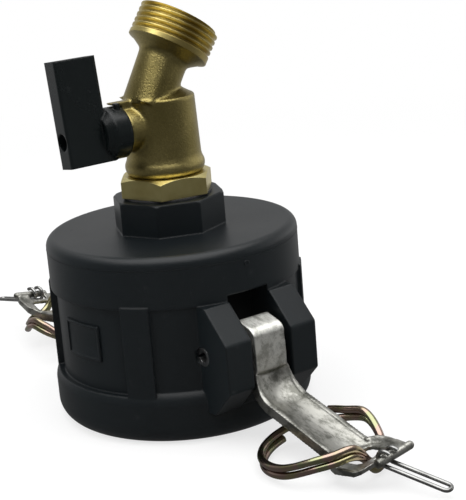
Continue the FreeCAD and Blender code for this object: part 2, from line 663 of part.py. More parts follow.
def stem():
    shaft = rod(STEM_RADIUS, Vector(0, -STEM_HEAD_TOP, STEM_Z), OUTWARD, STEM_END - STEM_HEAD_TOP)
    collar = rod(STEM_HEAD_RADIUS, Vector(0, -STEM_HEAD_TOP, STEM_Z), OUTWARD, STEM_HEAD_THICKNESS)
    tang = rod(TANG_RADIUS, Vector(0, -TANG_REACH, STEM_Z), OUTWARD, STEM_HEAD_TOP - TANG_REACH)
    tang = tang.common(block(-TANG_WIDTH / 2, TANG_WIDTH / 2, -20, 0, STEM_Z - 10, STEM_Z + 10))
    shape = fused(shaft, collar, tang)
    for place in ORING_PLACES:
        groove = tube(STEM_RADIUS + 1, STEM_RADIUS - 2 * ORING_SECTION + 0.05,
                      Vector(0, -place + ORING_SECTION + 0.05, STEM_Z), OUTWARD, 2 * ORING_SECTION + 0.1)
        shape = shape.cut(groove)
    for sign in (-1, 1):
        low = STEM_FLAT if sign > 0 else -STEM_RADIUS - 1
        flat = block(low, low + STEM_RADIUS + 1 - STEM_FLAT, -STEM_END - 1, -HUB_END - 1,
                     STEM_Z - 10, STEM_Z + 10)
        shape = shape.cut(flat)
    thread_hole = rod(SCREW_SHANK_RADIUS, Vector(0, -STEM_END - 1, STEM_Z), Y_AXIS, 11)
    return shape.cut(thread_hole)


def stem_oring(place):
    middle = STEM_RADIUS - ORING_SECTION + 0.05
    return Part.makeTorus(middle, ORING_SECTION - 0.05, Vector(0, -place, STEM_Z), Y_AXIS)


def stem_washer():
    start = Vector(0, -STEM_HEAD_TOP - STEM_HEAD_THICKNESS, STEM_Z)
    return tube(STEM_HEAD_RADIUS - 0.05, STEM_RADIUS + 0.05, start, OUTWARD, THRUST_WASHER)


# Handle: moulded paddle with a hub over the stem, held by a screw from the outer face

def handle_local(u, v):
    """Point of the handle's side view: u outward along the stem, v up from its axis."""
    return Vector(0, -u, STEM_Z + v)


def handle():
    paddle_wire = outline(
        handle_local(HANDLE_FACE, HANDLE_TOP),
        handle_local(HANDLE_INNER, HANDLE_TOP),
        handle_local(HANDLE_INNER, 7.6),
        handle_local(HUB_END + 2.8, 3.0),
        handle_local(HUB_END + 2.8, -5.6),
        (handle_local(HUB_END + 3.6, -7.7), handle_local(HUB_END + 5.8, -HANDLE_FOOT)),
        handle_local(HANDLE_FACE, -HANDLE_FOOT))
    paddle = Part.Face(paddle_wire).extrude(Vector(HANDLE_THICKNESS, 0, 0))
    paddle.translate(Vector(-HANDLE_THICKNESS / 2, 0, 0))
    long_edges = [e for e in paddle.Edges if e.BoundBox.XLength < 0.01 and e.Length > 20]
    paddle = paddle.makeFillet(0.6, long_edges)
    hub = rod(HUB_RADIUS, Vector(0, -HUB_END, STEM_Z), OUTWARD, HUB_SKIRT_END - HUB_END)
    bevel = Part.makeCone(HUB_RADIUS, HUB_RADIUS - 2.4, 2.4, Vector(0, -HUB_SKIRT_END, STEM_Z), OUTWARD)
    shape = fused(paddle, hub, bevel)
    socket = rod(STEM_RADIUS + 0.05, Vector(0, -HUB_END + 1, STEM_Z), OUTWARD, STEM_END - HUB_END + 1.05)
    keep = block(-STEM_FLAT - 0.05, STEM_FLAT + 0.05, -STEM_END - 1, -HUB_END + 1,
                 STEM_Z - 10, STEM_Z + 10)
    entry = rod(STEM_RADIUS + 0.05, Vector(0, -HUB_END + 1, STEM_Z), OUTWARD, 2.05)
    counterbore = rod(SCREW_HOLE_RADIUS, Vector(0, -SCREW_SEAT, STEM_Z), OUTWARD, HANDLE_FACE)
    screw_way = rod(SCREW_SHANK_RADIUS + 0.1, Vector(0, -STEM_END + 1, STEM_Z), OUTWARD, HANDLE_FACE)
    shape.rotate(Vector(0, 0, STEM_Z), Y_AXIS, -HANDLE_TILT)
    edge = LUG_WIDTH / 2 + STOP_GAP
    open_stop = block(edge, edge + STOP_WIDTH, -LUG_END, -LUG_END + STOP_DEPTH,
                      STEM_Z + HUB_RADIUS - 1.2, STEM_Z + LUG_HEIGHT - 0.3)
    shut_stop = block(-edge - STOP_WIDTH, -edge, -LUG_END, -LUG_END + STOP_DEPTH,
                      STEM_Z + HUB_RADIUS - 1.2, STEM_Z + LUG_HEIGHT - 0.3)
    shut_stop.rotate(Vector(0, 0, STEM_Z), Y_AXIS, -HANDLE_TRAVEL)
    shape = fused(shape, open_stop, shut_stop)
    for tool in (socket.common(keep), entry, counterbore, screw_way):
        shape = shape.cut(tool)
    return shape


def handle_screw():
    shank = rod(SCREW_SHANK_RADIUS - 0.05, Vector(0, -SCREW_SEAT, STEM_Z), Y_AXIS, SCREW_SEAT - STEM_END + 8)
    head = rod(SCREW_HEAD_RADIUS, Vector(0, -SCREW_SEAT, STEM_Z), OUTWARD, 2.0)
    cross = block(-0.4, 0.4, -SCREW_SEAT - 3, -SCREW_SEAT - 1.0, STEM_Z - 1.6, STEM_Z + 1.6)
    other = block(-1.6, 1.6, -SCREW_SEAT - 3, -SCREW_SEAT - 1.0, STEM_Z - 0.4, STEM_Z + 0.4)
    return fused(shank, head).cut(cross.fuse(other))


os.makedirs("parts", exist_ok=True)
near_arm = cam_arm()
near_ring = pull_ring()
near_clip = hairpin_clip()
pin = arm_pin()
pieces = {
    "coupler_body": coupler_body(),
    "mouth_gasket": mouth_gasket(),
    "near_arm_pin": pin,
    "far_arm_pin": opposite(pin),
    "near_cam_arm": near_arm,
    "far_cam_arm": far_arm_place(near_arm),
    "near_pull_ring": near_ring,
    "far_pull_ring": far_arm_place(near_ring),
    "near_clip": near_clip,
    "far_clip": far_arm_place(near_clip),
    "valve_tail": valve_tail(),
    "tail_seal": tail_seal(),
    "valve_body": valve_body(),
    "inlet_seat": seat(-1),
    "outlet_seat": seat(1),
    "ball": ball(),
    "stem": stem(),
    "inner_stem_oring": stem_oring(ORING_PLACES[0]),
    "outer_stem_oring": stem_oring(ORING_PLACES[1]),
    "stem_washer": stem_washer(),
    "handle": handle(),
    "handle_screw": handle_screw(),
}
for name, shape in pieces.items():
    save(name, shape)
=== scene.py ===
# %% [markdown]
# # A tank adapter with a brass tap
# The object is a black moulded coupler with two steel cam arms, and a small cast brass tap screwed
# into its top. The solids come from the frame at their real size and place. This lesson dresses them:
# it finishes every surface, cuts the hose thread, softens the casting and the pressed arms, and adds
# the small forms that only the eye needs.

# %% Load the frame
import json
import math
import bpy
from mathutils import Matrix, Vector


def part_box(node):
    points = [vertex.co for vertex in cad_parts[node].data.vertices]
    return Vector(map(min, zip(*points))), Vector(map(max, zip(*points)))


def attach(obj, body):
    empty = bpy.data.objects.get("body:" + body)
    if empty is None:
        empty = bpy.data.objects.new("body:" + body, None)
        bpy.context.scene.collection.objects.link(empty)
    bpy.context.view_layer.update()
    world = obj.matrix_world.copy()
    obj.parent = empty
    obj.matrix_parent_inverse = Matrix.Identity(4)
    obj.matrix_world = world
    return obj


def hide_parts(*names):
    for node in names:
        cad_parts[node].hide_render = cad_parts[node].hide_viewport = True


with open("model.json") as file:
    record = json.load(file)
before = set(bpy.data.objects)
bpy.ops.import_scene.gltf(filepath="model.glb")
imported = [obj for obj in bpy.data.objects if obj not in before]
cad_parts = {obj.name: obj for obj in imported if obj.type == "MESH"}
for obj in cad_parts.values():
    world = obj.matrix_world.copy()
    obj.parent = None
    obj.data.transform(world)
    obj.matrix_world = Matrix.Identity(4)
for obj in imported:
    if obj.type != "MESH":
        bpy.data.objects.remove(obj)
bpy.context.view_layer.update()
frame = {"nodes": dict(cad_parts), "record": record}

MM = 0.001
nodes = {name: bpy.data.objects[name] for name in frame["nodes"]}
mounts = {mount["name"]: mount for mount in frame["record"]["mounts"]}

# %% [markdown]
# ## The camera
# The photograph fixes where the lens stood: the cap, the flange and the octagon are circles and
# polygons on one axis, so their outlines give the distance, the height and a slight roll. A long lens
# keeps the upright sides nearly parallel, as in a product picture.

# %% Place the camera
CAMERA_PLACE = (0.37912, -0.23869, 0.174609)
CAMERA_HEADING = 55.307
CAMERA_TIP = 74.384
CAMERA_ROLL = -4.709
CAMERA_LENS = 101.937


def turn(degrees, axis):
    return Matrix.Rotation(math.radians(degrees), 4, axis)


camera_data = bpy.data.cameras.new("camera")
camera_data.sensor_fit = "VERTICAL"
camera_data.sensor_height = 36.0
camera_data.lens = CAMERA_LENS
camera = bpy.data.objects.new("camera", camera_data)
bpy.context.scene.collection.objects.link(camera)
camera.matrix_world = (Matrix.Translation(CAMERA_PLACE) @ turn(CAMERA_HEADING, "Z")
                       @ turn(CAMERA_TIP, "X") @ turn(CAMERA_ROLL, "Z"))
bpy.context.scene.camera = camera
print("camera", [round(v, 3) for v in camera.location])

# %% [markdown]
# ## Writing a shader as arithmetic
# A finish is a formula: a base colour plus some noise, roughness where a tool has rubbed. Nodes say
# that slowly, so a socket is wrapped in a small class whose + - * add the Math nodes, from either side,
# so that 1 - mask works too. Any other node comes from one method that takes the node's type, its
# settings and its socket values.

# %% A socket that can be added and multiplied


class Sock:
    def __init__(self, graph, socket):
        self.graph = graph
        self.socket = socket

    def math(self, operation, other):
        return self.graph.node("ShaderNodeMath", {"operation": operation}, {0: self, 1: other})

    def __add__(self, other):
        return self.math("ADD", other)

    def __sub__(self, other):
        return self.math("SUBTRACT", other)

    def __mul__(self, other):
        return self.math("MULTIPLY", other)

    def __rsub__(self, other):
        return self.math("MULTIPLY", -1.0) + other

    __radd__ = __add__
    __rmul__ = __mul__

    def step(self, low, high):
        """0 below low, 1 above high, smooth between."""
        return self.graph.node("ShaderNodeMapRange", {"interpolation_type": "SMOOTHSTEP"},
                               {"Value": self, "From Min": low, "From Max": high})


class Graph:
    """A node tree that is written as formulas."""

    def __init__(self, tree):
        self.tree = tree
        self.tree.nodes.clear()

    def node(self, kind, settings, values, out=0):
        made = self.tree.nodes.new(kind)
        for key, value in settings.items():
            setattr(made, key, value)
        for key, value in values.items():
            if isinstance(value, Sock):
                self.tree.links.new(value.socket, made.inputs[key])
            else:
                made.inputs[key].default_value = value
        return Sock(self, made.outputs[out])

    def mix_shaders(self, factor, first, second):
        return self.node("ShaderNodeMixShader", {}, {0: factor, 1: first, 2: second})

    def along(self, vector, way):
        """How far a vector reaches along a fixed direction."""
        return self.node("ShaderNodeVectorMath", {"operation": "DOT_PRODUCT"}, {0: vector, 1: way},
                         out="Value")

    def ray(self, kind):
        """1 where the surface is met by that kind of ray, else 0."""
        return self.node("ShaderNodeLightPath", {}, {}, out=kind)


# %% [markdown]
# ## A finish
# A finish is a material whose formulas all start from the object's own coordinates, so its grain stays
# with the piece when that moves. A constant is set on the shader's own socket; only a pattern is wired.

# %% A material under construction


class Finish(Graph):
    def __init__(self, name):
        self.material = bpy.data.materials.new(name)
        self.material.use_nodes = True
        super().__init__(self.material.node_tree)
        self.output = self.tree.nodes.new("ShaderNodeOutputMaterial")
        self.shader = self.tree.nodes.new("ShaderNodeBsdfPrincipled")
        self.tree.links.new(self.shader.outputs[0], self.output.inputs["Surface"])
        self.place = self.node("ShaderNodeTexCoord", {}, {}, out="Object")

    def noise(self, scale, detail=3.0, stretch=(1, 1, 1), rough=0.5):
        """A smooth random value; stretch above 1 packs it tighter along that axis."""
        where = self.node("ShaderNodeMapping", {}, {"Vector": self.place, "Scale": stretch})
        return self.node("ShaderNodeTexNoise", {}, {"Vector": where, "Scale": scale, "Detail": detail,
                                                    "Roughness": rough})

    def cells(self, scale):
        return self.node("ShaderNodeTexVoronoi", {}, {"Vector": self.place, "Scale": scale})

    def mix(self, factor, first, second):
        made = self.tree.nodes.new("ShaderNodeMix")
        made.data_type = "RGBA"
        for index, value in ((0, factor), (6, first), (7, second)):
            if isinstance(value, Sock):
                self.tree.links.new(value.socket, made.inputs[index])
            elif index == 0:
                made.inputs[index].default_value = value
            else:
                made.inputs[index].default_value = (*value, 1.0)
        return Sock(self, made.outputs[2])

    def bump(self, height, distance, strength, round_edges):
        rounded = self.node("ShaderNodeBevel", {"samples": 6}, {"Radius": round_edges})
        return self.node("ShaderNodeBump", {}, {"Height": height, "Distance": distance,
                                                "Strength": strength, "Normal": rounded})

    def set(self, **inputs):
        for key, value in inputs.items():
            name = key.replace("_", " ").title().replace("Ior", "IOR")
            socket = self.shader.inputs[name]
            if isinstance(value, Sock):
                self.tree.links.new(value.socket, socket)
            elif name.endswith("Color"):
                socket.default_value = (*value, 1.0)
            else:
                socket.default_value = value
        return self.material


def paint(piece, material):
    piece.data.materials.clear()
    piece.data.materials.append(material)


def dress(material, *names):
    for name in names:
        paint(nodes[name], material)
    print(material.name, "on", ", ".join(names))


# %% [markdown]
# ## Black moulded plastic
# The coupler is glass-filled polypropylene. Its skin is a cool near-black with a fine grain, a slow
# change of gloss where the melt flowed, a trace of pale dust, and edges rounded by the mould. Grain is
# a small bump; the rounding is a bevelled normal under it.

# %% Moulded body and handle
DUST = (0.16, 0.16, 0.17)


def moulded(name, colour, roughness, grain, edge):
    f = Finish(name)
    flow = f.noise(28.0, detail=2.0, stretch=(1, 1, 0.35))
    speck = f.noise(2600.0, detail=2.0)
    dust = f.noise(420.0, detail=4.0).step(0.62, 0.78)
    flowed = tuple(c * 1.4 + 0.001 for c in colour)
    shade = f.mix(flow.step(0.35, 0.7) * 0.5, colour, flowed)
    shade = f.mix(dust * 0.03, shade, DUST)
    rough = flow * 0.14 + dust * 0.06 + roughness - 0.07
    height = speck * grain + flow * 0.2
    return f.set(base_color=shade, roughness=rough, specular_ior_level=0.36,
                 normal=f.bump(height, distance=0.2 * MM, strength=0.35, round_edges=edge))


BODY_BLACK = moulded("moulded_black", (0.0042, 0.0062, 0.0074), roughness=0.38, grain=0.5, edge=0.9 * MM)
HANDLE_BLACK = moulded("handle_black", (0.0026, 0.0042, 0.0044), roughness=0.28, grain=0.4, edge=1.0 * MM)
dress(BODY_BLACK, "coupler_body")
dress(HANDLE_BLACK, "handle")

# %% [markdown]
# ## Brass, cast and machined
# The tap is cast, blasted and then machined only where it must fit. The casting is an olive yellow
# with a gritty skin and darker pits; the hexagon and the thread are bright cuts in the same metal,
# with fine rings left by the lathe.

# %% Cast and machined brass
CAST_DEEP, CAST_PALE, CAST_GRIT = (0.31, 0.255, 0.09), (0.48, 0.40, 0.16), (0.20, 0.155, 0.055)


def cast_brass():
    f = Finish("cast_brass")
    patch = f.noise(70.0, detail=4.0)
    grit = f.noise(1500.0, rough=0.7)
    pits = f.cells(1400.0).step(0.05, 0.40)
    colour = f.mix(patch.step(0.3, 0.7), CAST_DEEP, CAST_PALE)
    colour = f.mix(grit.step(0.35, 0.65) * 0.35, colour, CAST_GRIT)
    rough = patch * 0.14 + (1 - pits) * 0.10 + 0.27
    height = grit * 0.7 + pits * 0.3 + patch * 1.2
    return f.set(base_color=colour, metallic=1.0, roughness=rough,
                 normal=f.bump(height, distance=0.2 * MM, strength=0.55, round_edges=0.6 * MM))


def cut_brass(name, pale, deep, roughness):
    f = Finish(name)
    stain = f.noise(90.0)
    lathe = f.noise(60.0, detail=4.0, stretch=(1, 1, 60))
    return f.set(base_color=f.mix(stain.step(0.35, 0.7), pale, deep), metallic=1.0,
                 roughness=stain * 0.12 + lathe * 0.10 + roughness,
                 normal=f.bump(lathe, distance=0.06 * MM, strength=0.3, round_edges=0.25 * MM))


BRASS_CAST = cast_brass()
BRASS_CUT = cut_brass("machined_brass", (0.80, 0.70, 0.31), (0.60, 0.50, 0.19), roughness=0.20)
BRASS_THREAD = cut_brass("thread_brass", (0.66, 0.54, 0.20), (0.46, 0.36, 0.12), roughness=0.18)
dress(BRASS_CUT, "valve_tail", "stem")

# %% [markdown]
# ## Steel
# The arms are pressed from stainless strip and tumbled: grey, with soft lengthwise streaks and pale
# rubbed clouds. Their one steel is given two colour copies split by height, darker on the gutter and far
# paler on the upright strap; that difference is painted shade and a painted highlight. The rings are
# spring wire with yellow zinc, which shows olive, brown and gold in turn. Pins, clips, screw and ball are
# plain metal, each a little uneven.

# %% Arms, rings, pins and clips
# Two copies of one steel: the gutter's darker pair is painted shade, the strap's paler pair a painted
# highlight, switched by the two heights below.
SHADED_GUTTER_DARK, SHADED_GUTTER_PALE = (0.17, 0.17, 0.15), (0.46, 0.455, 0.42)
LIT_STRAP_DARK, LIT_STRAP_PALE = (0.56, 0.56, 0.51), (0.99, 0.99, 0.94)
ZINC_OLIVE, ZINC_BROWN, ZINC_GREEN = (0.40, 0.36, 0.20), (0.42, 0.30, 0.25), (0.34, 0.35, 0.20)
LIT_STRAP_FROM_Z = 19 * MM
LIT_STRAP_ABOVE_Z = 25 * MM


def arm_steel():
    f = Finish("arm_steel")
    streak = f.noise(60.0, detail=5.0, stretch=(0.2, 8.0, 8.0))
    cloud = f.noise(170.0, detail=6.0, stretch=(0.6, 1.4, 1.4), rough=0.75)
    nick = f.noise(900.0, detail=2.0).step(0.60, 0.72)
    height = f.node("ShaderNodeSeparateXYZ", {}, {0: f.place}, out="Z")
    # Painted light and shade by height: above the strap's foot the steel turns from its darker copy to its
    # much paler copy.
    lit_strap_share = height.step(LIT_STRAP_FROM_Z, LIT_STRAP_ABOVE_Z)
    rubbed = cloud.step(0.36, 0.58)
    colour = f.mix(lit_strap_share, f.mix(rubbed, SHADED_GUTTER_DARK, SHADED_GUTTER_PALE), f.mix(rubbed, LIT_STRAP_DARK, LIT_STRAP_PALE))
    rough = streak * 0.16 + cloud * 0.12 + nick * 0.10 + lit_strap_share * 0.12 + 0.24
    marks = streak * 0.8 + nick * 0.2 + cloud * 0.5
    return f.set(base_color=colour, metallic=1.0, roughness=rough,
                 normal=f.bump(marks, distance=0.2 * MM, strength=0.6, round_edges=0.4 * MM))


def ring_zinc():
    f = Finish("ring_zinc")
    hue = f.noise(110.0, detail=2.0)
    colour = f.mix(hue.step(0.42, 0.55), ZINC_OLIVE, ZINC_BROWN)
    colour = f.mix(f.noise(150.0, detail=2.0).step(0.50, 0.64), colour, ZINC_GREEN)
    return f.set(base_color=colour, metallic=1.0, roughness=hue * 0.12 + 0.14)


def plain_metal(name, colour, roughness):
    f = Finish(name)
    cloud = f.noise(300.0)
    deep = tuple(c * 0.72 for c in colour)
    return f.set(base_color=f.mix(cloud.step(0.4, 0.7), colour, deep), metallic=1.0,
                 roughness=cloud * 0.16 + roughness,
                 normal=f.bump(cloud, distance=0.05 * MM, strength=0.4, round_edges=0.2 * MM))


ARM_STEEL = arm_steel()
dress(ring_zinc(), "near_pull_ring", "far_pull_ring")
dress(plain_metal("pin_steel", (0.80, 0.80, 0.80), 0.22), "near_arm_pin", "far_arm_pin")
dress(plain_metal("clip_steel", (0.38, 0.38, 0.37), 0.18), "near_clip", "far_clip")
dress(plain_metal("screw_steel", (0.52, 0.52, 0.50), 0.26), "handle_screw")
dress(plain_metal("ball_chrome", (0.82, 0.82, 0.82), 0.06), "ball")

# %% [markdown]
# ## Rubber and white plastic
# Seals barely show, but the object is looked at from below too, where the gasket fills the view.
# Rubber is dark, dull and faintly mottled; the ball's seats are a waxy white.

# %% Seals


def soft(name, colour, roughness):
    f = Finish(name)
    mottle = f.noise(260.0, detail=4.0)
    pale = tuple(min(c * 1.35 + 0.01, 0.95) for c in colour)
    return f.set(base_color=f.mix(mottle.step(0.35, 0.75), colour, pale),
                 roughness=mottle * 0.2 + roughness,
                 normal=f.bump(mottle, distance=0.1 * MM, strength=0.3, round_edges=0.3 * MM))


dress(soft("gasket_rubber", (0.020, 0.020, 0.021), 0.55), "mouth_gasket", "tail_seal",
      "inner_stem_oring", "outer_stem_oring")
dress(soft("white_seat", (0.78, 0.78, 0.75), 0.38), "inlet_seat", "outlet_seat", "stem_washer")

# %% [markdown]
# ## Working on a copy
# A solid from the frame is never changed. A form that it lacks is made on a copy, which first has its
# loose triangles merged into one skin. The copy then stands in the picture for the solid.

# %% Select, edit, apply and copy


def deselect():
    bpy.ops.object.select_all(action="DESELECT")


def select_only(thing):
    deselect()
    thing.select_set(True)
    bpy.context.view_layer.objects.active = thing


def edit(piece, *steps):
    """Run edit-mode steps on everything in the piece."""
    select_only(piece)
    bpy.ops.object.mode_set(mode="EDIT")
    bpy.ops.mesh.select_all(action="SELECT")
    for step in steps:
        step()
    bpy.ops.object.mode_set(mode="OBJECT")


def select_faces(piece, chosen):
    """Leave the piece in edit mode with only the faces that chosen(polygon) names selected."""
    select_only(piece)
    bpy.ops.object.mode_set(mode="EDIT")
    bpy.ops.mesh.select_mode(type="FACE")
    bpy.ops.mesh.select_all(action="DESELECT")
    bpy.ops.object.mode_set(mode="OBJECT")
    for polygon in piece.data.polygons:
        polygon.select = chosen(polygon)
    bpy.ops.object.mode_set(mode="EDIT")


def apply_modifier(piece, kind, **settings):
    select_only(piece)
    modifier = piece.modifiers.new(kind.lower(), kind)
    for key, value in settings.items():
        setattr(modifier, key, value)
    bpy.ops.object.modifier_apply(modifier=modifier.name)


def bake_place(piece):
    select_only(piece)
    bpy.ops.object.transform_apply()


SAME_PLACE = 1e-7


def merged_copy(node, name):
    piece = bpy.data.objects.new(name, nodes[node].data.copy())
    bpy.context.scene.collection.objects.link(piece)
    edit(piece, bpy.ops.mesh.customdata_custom_splitnormals_clear,
         lambda: bpy.ops.mesh.remove_doubles(threshold=SAME_PLACE))
    return piece


# %% [markdown]
# ## Cutting, joining and softening
# A cutter is a plain shape that a Boolean uses up. A softened copy gets even small faces first, and
# then a few smoothing passes draw its sharp corners in.

# %% Blocks, Booleans and smoothing


def face_outward():
    bpy.ops.mesh.normals_make_consistent(inside=False)


def drop_face():
    bpy.ops.mesh.delete(type="ONLY_FACE")


def fill_ends():
    bpy.ops.mesh.fill_holes(sides=4)


def upright_square():
    """Four corners in the x-z plane, to be moved into a profile."""
    deselect()
    bpy.ops.mesh.primitive_plane_add(size=1.0, rotation=(math.radians(90), 0, 0))
    square = bpy.context.object
    bake_place(square)
    return square


def tool_block(name, corners):
    """A cube whose eight corners are moved: corners(x, y, z) gets -1 or 1 for each."""
    deselect()
    bpy.ops.mesh.primitive_cube_add(size=2.0)
    tool = bpy.context.object
    tool.name = name
    for vertex in tool.data.vertices:
        vertex.co = corners(*(math.copysign(1, c) for c in vertex.co))
    edit(tool, face_outward)
    return tool


def combine(piece, tool, operation):
    """Change the piece by a Boolean and drop the tool."""
    apply_modifier(piece, "BOOLEAN", operation=operation, solver="EXACT", object=tool)
    bpy.data.objects.remove(tool)


def take_out(piece, tool):
    combine(piece, tool, "DIFFERENCE")


def soften(piece, voxel, passes):
    """Turn sharp joints into cast or pressed ones."""
    apply_modifier(piece, "REMESH", mode="VOXEL", voxel_size=voxel)
    apply_modifier(piece, "SMOOTH", factor=0.5, iterations=passes)


def soften_more(piece, passes, share):
    """Smooth again, by a share from 0 to 1 that share(place) gives for each point."""
    group = piece.vertex_groups.new(name="softened")
    for vertex in piece.data.vertices:
        group.add([vertex.index], share(vertex.co), "REPLACE")
    apply_modifier(piece, "SMOOTH", factor=0.5, iterations=passes, vertex_group="softened")
    piece.vertex_groups.clear()


def smooth(piece, degrees):
    """Shade the piece smooth, except over edges sharper than the angle."""
    select_only(piece)
    bpy.ops.object.shade_smooth_by_angle(angle=math.radians(degrees))


def measured(piece):
    print(piece.name, "faces", len(piece.data.polygons))


# %% [markdown]
# ## The hose thread
# On the real tap a lathe tool cuts the thread: a V with a small flat, which follows a helix. The same
# is done here. A four-cornered profile is swept by the Screw modifier into one long cutter, and a
# Boolean takes it out of the tap's head. The crests keep the head's own radius, so nothing grows. The
# head is cut off the casting at its foot first, because the thread stays sharp while the casting is
# softened. The casting's own part runs a little way up into the head and so hides the cut.

# %% Cut the thread into a copy of the tap's head
HOSE = mounts["hose_thread"]
OUTLET_WAY = Vector(HOSE["axis"])
OUTLET_FACE = Vector(HOSE["pos_m"])
CREST_RADIUS = HOSE["dims"]["r_mm"] * MM
HEAD_LENGTH = HOSE["dims"]["length_mm"] * MM
HEAD_FOOT = OUTLET_FACE - OUTLET_WAY * HEAD_LENGTH
CAST_OVERLAP = 0.7 * MM
THREAD_PITCH = 25.4 / 14 * MM  # 14 turns to the inch
THREAD_DEPTH = 1.16 * MM
THREAD_REACH = THREAD_DEPTH * 1.16  # the cutter ends outside the crest
THREAD_FLANK = math.radians(27.5)
THREAD_ROOT_FLAT = 0.2 * MM
THREAD_START = 1.7 * MM
THREAD_TURNS = 5.2
TURN_STEPS = 72


def thread_cutter():
    cutter = upright_square()
    root = CREST_RADIUS - THREAD_DEPTH
    for vertex in cutter.data.vertices:
        outward = THREAD_REACH if vertex.co.x > 0 else 0
        half = THREAD_ROOT_FLAT / 2 + outward * math.tan(THREAD_FLANK)
        vertex.co = (root + outward, 0, math.copysign(half, vertex.co.z))
    edit(cutter, drop_face)
    steps = int(TURN_STEPS * THREAD_TURNS)
    apply_modifier(cutter, "SCREW", angle=2 * math.pi * THREAD_TURNS,
                   screw_offset=THREAD_PITCH * THREAD_TURNS, steps=steps, render_steps=steps)
    edit(cutter, fill_ends, face_outward)
    tilt = OUTLET_WAY.to_track_quat("Z", "Y").to_matrix().to_4x4()
    cutter.matrix_world = Matrix.Translation(HEAD_FOOT + OUTLET_WAY * THREAD_START) @ tilt
    bake_place(cutter)
    return cutter


def part_of_tap(name, is_head):
    """The head from its foot up, or the casting from just above that foot down."""
    part = merged_copy("valve_body", name)
    plane = HEAD_FOOT if is_head else HEAD_FOOT + OUTLET_WAY * CAST_OVERLAP
    edit(part, lambda: bpy.ops.mesh.bisect(plane_co=plane, plane_no=OUTLET_WAY, use_fill=True,
                                           clear_inner=is_head, clear_outer=not is_head))
    return part


def threaded_head():
    head = part_of_tap("hose_head", True)
    take_out(head, thread_cutter())
    smooth(head, degrees=28)
    paint(head, BRASS_THREAD)
    return head


HOSE_HEAD = threaded_head()
measured(HOSE_HEAD)

# %% [markdown]
# ## The casting
# A casting has no sharp inner corner. In the solid the neck leaves the trunk's round top with a step on
# the stem's side; here a small root fills that step, and a slanted cone, from the trunk's top to the
# head, is the shape that both are trimmed to. The cone's skin is drawn in a little for the root, so
# that the Boolean never meets two faces in one place. Then the skin is softened, most of all on the
# neck, while the trunk's edges and the head's foot keep their place.

# %% Fill, trim and soften the casting


def in_mm(*lengths):
    return [length * MM for length in lengths]


TRUNK_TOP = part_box("valve_body")[0].z + 25.2 * MM
# rise over the trunk's top, shift along y, half width along x, half width along y
CONE_FOOT = in_mm(-1.0, 0, 11.3, 12.1)
CONE_HEAD = in_mm(15.4, 5.9, 8.2, 9.8)
# half width along x, y of the inner side, foot and top over the trunk's top
ROOT_BLOCK = in_mm(7.4, -5.5, -0.8, 4.5)
TRIM_BLOCK = in_mm(20, -3, 0.06, 15)
BLOCK_OUTER_Y = -40 * MM
ROOT_INSET = 0.3 * MM
NECK_START = 0.1 * MM
NECK_FADE = 4.5 * MM
HEAD_FADE = 2.0 * MM


def on_neck(place):
    """1 on the neck, falling to 0 at the trunk's shoulder and at the head's foot."""
    over_trunk = (place.z - TRUNK_TOP - NECK_START) / NECK_FADE
    under_head = (HEAD_FOOT - place).dot(OUTLET_WAY) / HEAD_FADE
    return min(max(min(over_trunk, under_head), 0), 1)


def neck_cone(inset=0.0):
    deselect()
    bpy.ops.mesh.primitive_cylinder_add(vertices=128, radius=1, depth=2)
    cone = bpy.context.object
    for vertex in cone.data.vertices:
        rise, centre, wide, deep = CONE_HEAD if vertex.co.z > 0 else CONE_FOOT
        vertex.co = (vertex.co.x * (wide - inset), centre + vertex.co.y * (deep - inset), TRUNK_TOP + rise)
    return cone


def left_block(half_width, inner_y, foot, top):
    """A block on the stem's side of the tap, from inner_y outward."""
    return tool_block("left_block", lambda x, y, z: (x * half_width, inner_y if y > 0 else BLOCK_OUTER_Y,
                                                     TRUNK_TOP + (top if z > 0 else foot)))


def tap_casting():
    casting = part_of_tap("tap_casting", False)
    root = left_block(*ROOT_BLOCK)
    combine(root, neck_cone(ROOT_INSET), "INTERSECT")
    combine(casting, root, "UNION")
    trim = left_block(*TRIM_BLOCK)
    take_out(trim, neck_cone())
    take_out(casting, trim)
    soften(casting, voxel=0.4 * MM, passes=2)
    soften_more(casting, passes=40, share=on_neck)
    smooth(casting, degrees=50)
    paint(casting, BRASS_CAST)
    measured(casting)
    return casting


for piece in (HOSE_HEAD, tap_casting()):
    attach(piece, "coupler")
    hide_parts("valve_body")

# %% [markdown]
# ## The cam arms
# An arm is pressed from strip: its bends are round and its edges are tumbled smooth. The solid has
# sharp bends there, so a copy has the strap's top corner cut to an arc, the end bar cut back on its
# left side, and every edge softened. The far arm is the same arm turned half round and lifted, so the
# same tools are carried over by one matrix, which is read from the two arms' joints.

# %% Tools for the near arm's strap and bar
JOINTS = {joint["name"]: joint for joint in frame["record"]["behaviour"]["joints"]}
PIN_PLACE = Vector(JOINTS["near_arm_hinge"]["pos_m"])
FAR_WAY = Vector(JOINTS["far_ring_hinge"]["axis"])
FAR_LIFT = math.degrees(math.atan2(FAR_WAY.z, FAR_WAY.x))
STRAP_FACE_X = 50.3 * MM
STRAP_TOP_PLACE = Vector((42.5, 0, 37.6)) * MM
STRAP_TOP_SLOPE = 15.0
STRAP_ROUND = 4.0 * MM
ROUND_STEPS = 10
CUTTER_REACH = 3 * MM
CUTTER_WIDTH = 24 * MM
BAR_X = 101.0 * MM
BAR_INNER_X = BAR_X - 1.2 * MM
BAR_OUTER_X = BAR_X + 4 * MM
BAR_TRIM_Y = -3.6 * MM
BAR_END_Y = -14 * MM
BAR_HALF_HEIGHT = 20 * MM


